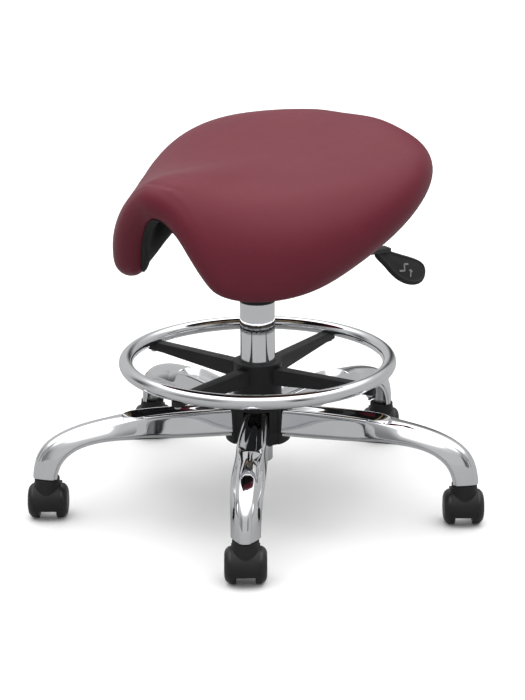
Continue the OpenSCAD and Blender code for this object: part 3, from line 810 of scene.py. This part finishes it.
def add_column():
    """The column's tube, turned from its profile, and the gas cylinder in it."""
    low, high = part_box("column_tube")
    r = (high[0] - low[0]) / 2
    foot, wall, bore = COLUMN_FOOT_R, COLUMN_WALL, COLUMN_BORE_R
    narrow, full = COLUMN_TAPER
    profile = [(bore, low[2]), (foot - 1 * MM, low[2])]
    profile += arc(foot - 1 * MM, low[2] + 1 * MM, 1 * MM, -75, 0, 5)
    profile += [(foot, narrow), (r, full), (r, high[2] - 1 * MM)]
    profile += arc(r - 0.8 * MM, high[2] - 0.8 * MM, 0.8 * MM, 0, 90, 4)
    profile += [(r - wall, high[2]), (r - wall, full), (foot - wall, narrow)]
    profile += [(foot - wall, low[2] + COLUMN_FLOOR), (bore, low[2] + COLUMN_FLOOR)]
    replaced(lathe("column_tube_polished", profile, segments=192), "column_tube")
    softened(["gas_cylinder"], 0.3 * MM)


def add_ring():
    """The foot ring's bent tube."""
    low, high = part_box("ring_tube")
    tube = (high[2] - low[2]) / 2
    middle = (high[2] + low[2]) / 2
    ring_r = (high[0] - low[0]) / 2 - tube
    profile = [(ring_r + x, middle + z) for x, z in arc(0, 0, tube, 0, 360, 48)[:-1]]
    replaced(lathe("ring_tube_polished", profile, segments=288), "ring_tube")


add_column()
add_ring()

softened(["hub_upper", "hub_lower"])
softened(["ring_spider"], 1.3 * MM)
softened(["column_bushing", "ring_collet", "rod_bumper"], 0.4 * MM)
softened(["hub_sleeve", "hub_screws", "stem_sockets", "piston_rod", "rod_clip", "taper_socket",
          "lever_pin", "seat_bolts", "tee_nuts", "valve_button", "ring_screws", "mechanism_plate",
          "seat_board", "lever_bar"], 0.4 * MM, 2)
softened(["thrust_bearing"], 0)
softened(["seat_core"], 3 * MM)
for k in LEGS:
    softened([f"caster_hood_{k}"], 1.0 * MM)
    softened([f"caster_stem_{k}", f"caster_axle_{k}"], 0.3 * MM, 2)
    softened([f"wheel_{k}a", f"wheel_{k}b"], 0.6 * MM)


# ---- floor and light ----

FLOOR_TONE = 0.99
BOUNCE_TONE = 0.36
TENT_STRENGTH = 2.9


def floor_plane(name, tone, drop):
    """A wide floor, drop below the stool's feet."""
    bpy.ops.mesh.primitive_plane_add(size=60, location=(0, 0, -drop))
    plane = bpy.context.object
    plane.name = name
    plane.data.materials.append(floor_material(name, tone))
    return plane


def add_floor():
    """A white floor for the eye, and a grey one under it for the light it throws back."""
    seen = floor_plane("floor", FLOOR_TONE, 0)
    seen.visible_diffuse = False
    seen.visible_glossy = False
    seen.visible_shadow = False
    grey = floor_plane("floor_bounce", BOUNCE_TONE, MM)
    grey.visible_camera = False


def stops(tree, source, points):
    """source through a grey ramp of (place, value) points."""
    made = tree.nodes.new("ShaderNodeValToRGB")
    made.color_ramp.interpolation = "EASE"
    for i, (at, value) in enumerate(points):
        element = made.color_ramp.elements[i] if i < 2 else made.color_ramp.elements.new(at)
        element.position = at
        element.color = (value, value, value, 1)
    tree.links.new(source, made.inputs["Fac"])
    return made.outputs["Color"]


def add_light():
    """A light tent: bright overhead, dim walls, and darker panels between them low down."""
    world = bpy.data.worlds.new("studio")
    bpy.context.scene.world = world
    world.use_nodes = True
    tree = world.node_tree
    sky = tree.nodes["Background"]
    sky.inputs["Color"].default_value = (1, 1, 1, 1)
    coords = tree.nodes.new("ShaderNodeTexCoord")
    split = tree.nodes.new("ShaderNodeSeparateXYZ")
    tree.links.new(coords.outputs["Generated"], split.inputs["Vector"])
    height = ramp(tree, split.outputs["Z"], 0, 1)
    roof = stops(tree, height, [(0.0, 0.20), (1.0, 0.84), (0.35, 0.20), (0.55, 0.24),
                                (0.70, 0.52), (0.85, 0.78)])
    round_turn = node(tree, "ShaderNodeMapping")
    round_turn.inputs["Rotation"].default_value = (0, 0, math.radians(CAMERA_TURN + 90))
    tree.links.new(coords.outputs["Generated"], round_turn.inputs["Vector"])
    turn = tree.nodes.new("ShaderNodeTexGradient")
    turn.gradient_type = "RADIAL"
    tree.links.new(round_turn.outputs["Vector"], turn.inputs["Vector"])
    walls = stops(tree, turn.outputs["Fac"], [
        (0.0, 0.9), (1.0, 0.9), (0.14, 0.9), (0.19, 0.12), (0.24, 1.0), (0.36, 1.0),
        (0.42, 0.2), (0.48, 1.0), (0.56, 0.5), (0.62, 0.4), (0.68, 1.0), (0.78, 1.0),
        (0.82, 0.15), (0.87, 0.9)])
    low = stops(tree, height, [(0.0, 1.0), (1.0, 0.0), (0.25, 1.0), (0.65, 0.0)])
    panels = tree.nodes.new("ShaderNodeMix")
    panels.data_type = "RGBA"
    panels.inputs["A"].default_value = (1, 1, 1, 1)
    tree.links.new(low, panels.inputs["Factor"])
    tree.links.new(walls, panels.inputs["B"])
    tent = combined(tree, "MULTIPLY", roof, panels.outputs["Result"])
    tree.links.new(combined(tree, "MULTIPLY", tent, TENT_STRENGTH), sky.inputs["Strength"])
    view = bpy.context.scene.view_settings
    view.view_transform = "Standard"
    view.look = "None"


add_floor()
add_light()
